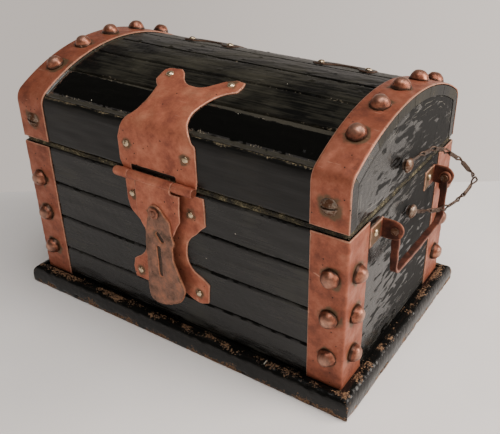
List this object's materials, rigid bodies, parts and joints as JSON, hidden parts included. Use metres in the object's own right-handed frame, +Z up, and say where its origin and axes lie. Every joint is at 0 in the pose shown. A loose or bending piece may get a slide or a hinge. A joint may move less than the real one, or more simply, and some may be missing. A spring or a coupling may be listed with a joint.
{
  "type": "dome-top trunk",
  "caption": "Table-top dome-lid trunk of dark painted boards with copper corner straps, studs, hasp, bail handles and a chain stay.",
  "frame": {"origin": "on the surface it stands on, under the middle of the base", "axes": "+X to the object's right along its longest side, -Y to its front with the hasp, +Z up"},
  "size_m": [0.2517, 0.1504, 0.1574],
  "materials": {
    "painted_boards": "black oil paint over pine, satin, worn at the edges",
    "copper_sheet": "hand-cut copper sheet, dull and tarnished",
    "worn_copper": "copper rubbed dark by handling",
    "copper_studs": "copper with brown patina",
    "slotted_screws": "tarnished round-head screws",
    "escutcheon_pins": "small bright domed pins",
    "iron_pins": "browned iron wire",
    "chain": "browned strip and wire links",
    "braid": "worn olive and gold braid"
  },
  "bodies": {
    "chest": {"base_board": "painted_boards", "base_moulding_front": "painted_boards", "base_moulding_back": "painted_boards", "base_moulding_left": "painted_boards", "base_moulding_right": "painted_boards", "end_board_left": "painted_boards", "end_board_right": "painted_boards", "front_plank_1": "painted_boards", "front_plank_2": "painted_boards", "front_plank_3": "painted_boards", "front_plank_4": "painted_boards", "back_plank_1": "painted_boards", "back_plank_2": "painted_boards", "back_plank_3": "painted_boards", "back_plank_4": "painted_boards", "corner_strap_front_left": "copper_sheet", "corner_strap_back_left": "copper_sheet", "corner_strap_front_right": "copper_sheet", "corner_strap_back_right": "copper_sheet", "corner_studs": "copper_studs", "rim_braid": "braid", "hasp_body_plate": "copper_sheet", "chest_escutcheon_pins": "escutcheon_pins", "staple": "iron_pins", "handle_bracket_left_front": "copper_sheet", "handle_bracket_left_back": "copper_sheet", "handle_bracket_right_front": "copper_sheet", "handle_bracket_right_back": "copper_sheet", "handle_pivot_pins": "iron_pins", "hinge_leaf_chest_left": "copper_sheet", "hinge_leaf_chest_right": "copper_sheet", "hinge_pins": "iron_pins", "chain_screw_chest": "chain"},
    "lid": {"lid_front_rail": "painted_boards", "lid_slat_1": "painted_boards", "lid_slat_2": "painted_boards", "lid_slat_3": "painted_boards", "lid_slat_4": "painted_boards", "lid_slat_5": "painted_boards", "lid_slat_6": "painted_boards", "lid_back_rail": "painted_boards", "lid_end_left": "painted_boards", "lid_end_right": "painted_boards", "lid_strap_left": "copper_sheet", "lid_strap_right": "copper_sheet", "lid_strap_studs": "copper_studs", "lid_strap_screws": "slotted_screws", "hasp_lid_plate": "copper_sheet", "hasp_pin": "iron_pins", "lid_escutcheon_pins": "escutcheon_pins", "hinge_leaf_lid_left": "copper_sheet", "hinge_leaf_lid_right": "copper_sheet", "chain_screw_lid": "chain"},
    "hasp": {"hasp_leaf": "copper_sheet", "hasp_rivet": "copper_studs"},
    "tongue": {"hasp_tongue": "worn_copper"},
    "bail_right": {"bail_right": "copper_sheet"},
    "bail_left": {"bail_left": "copper_sheet"},
    "chain_lower": {"chain_lower": "chain"},
    "chain_upper": {"chain_upper": "chain"}
  },
  "joints": [
    {"name": "lid_hinge", "type": "hinge", "parent": "chest", "child": "lid", "pos_m": [0, 0.069, 0.10425], "axis": [-1, 0, 0], "range_deg": [0, 100]},
    {"name": "hasp_swing", "type": "hinge", "parent": "lid", "child": "hasp", "pos_m": [0, -0.069, 0.1036], "axis": [-1, 0, 0], "range_deg": [0, 150]},
    {"name": "tongue_swivel", "type": "hinge", "parent": "hasp", "child": "tongue", "pos_m": [-0.0036, -0.0718, 0.0866], "axis": [0, -1, 0], "range_deg": [-35, 35]},
    {"name": "bail_right_swing", "type": "hinge", "parent": "chest", "child": "bail_right", "pos_m": [0.117, 0, 0.092], "axis": [0, -1, 0], "range_deg": [-8, 110], "deforming": ["chain_lower", "chain_upper"]},
    {"name": "bail_left_swing", "type": "hinge", "parent": "chest", "child": "bail_left", "pos_m": [-0.117, 0, 0.092], "axis": [0, 1, 0], "range_deg": [-8, 110]},
    {"name": "chain_lower_swing", "type": "hinge", "parent": "chest", "child": "chain_lower", "pos_m": [0.1111, 0.0025, 0.086], "axis": [0.9539, -0.2871, 0.0873], "range_deg": [0, 28.47]},
    {"name": "chain_upper_swing", "type": "hinge", "parent": "lid", "child": "chain_upper", "pos_m": [0.1111, -0.01, 0.1185], "axis": [0.6328, 0.2006, 0.7479], "range_deg": [0, 4.19]}
  ],
  "couplings": [
    {"joint": "chain_lower_swing", "follows": "lid_hinge", "ratio": 0.28467},
    {"joint": "chain_upper_swing", "follows": "lid_hinge", "ratio": 0.04187}
  ]
}
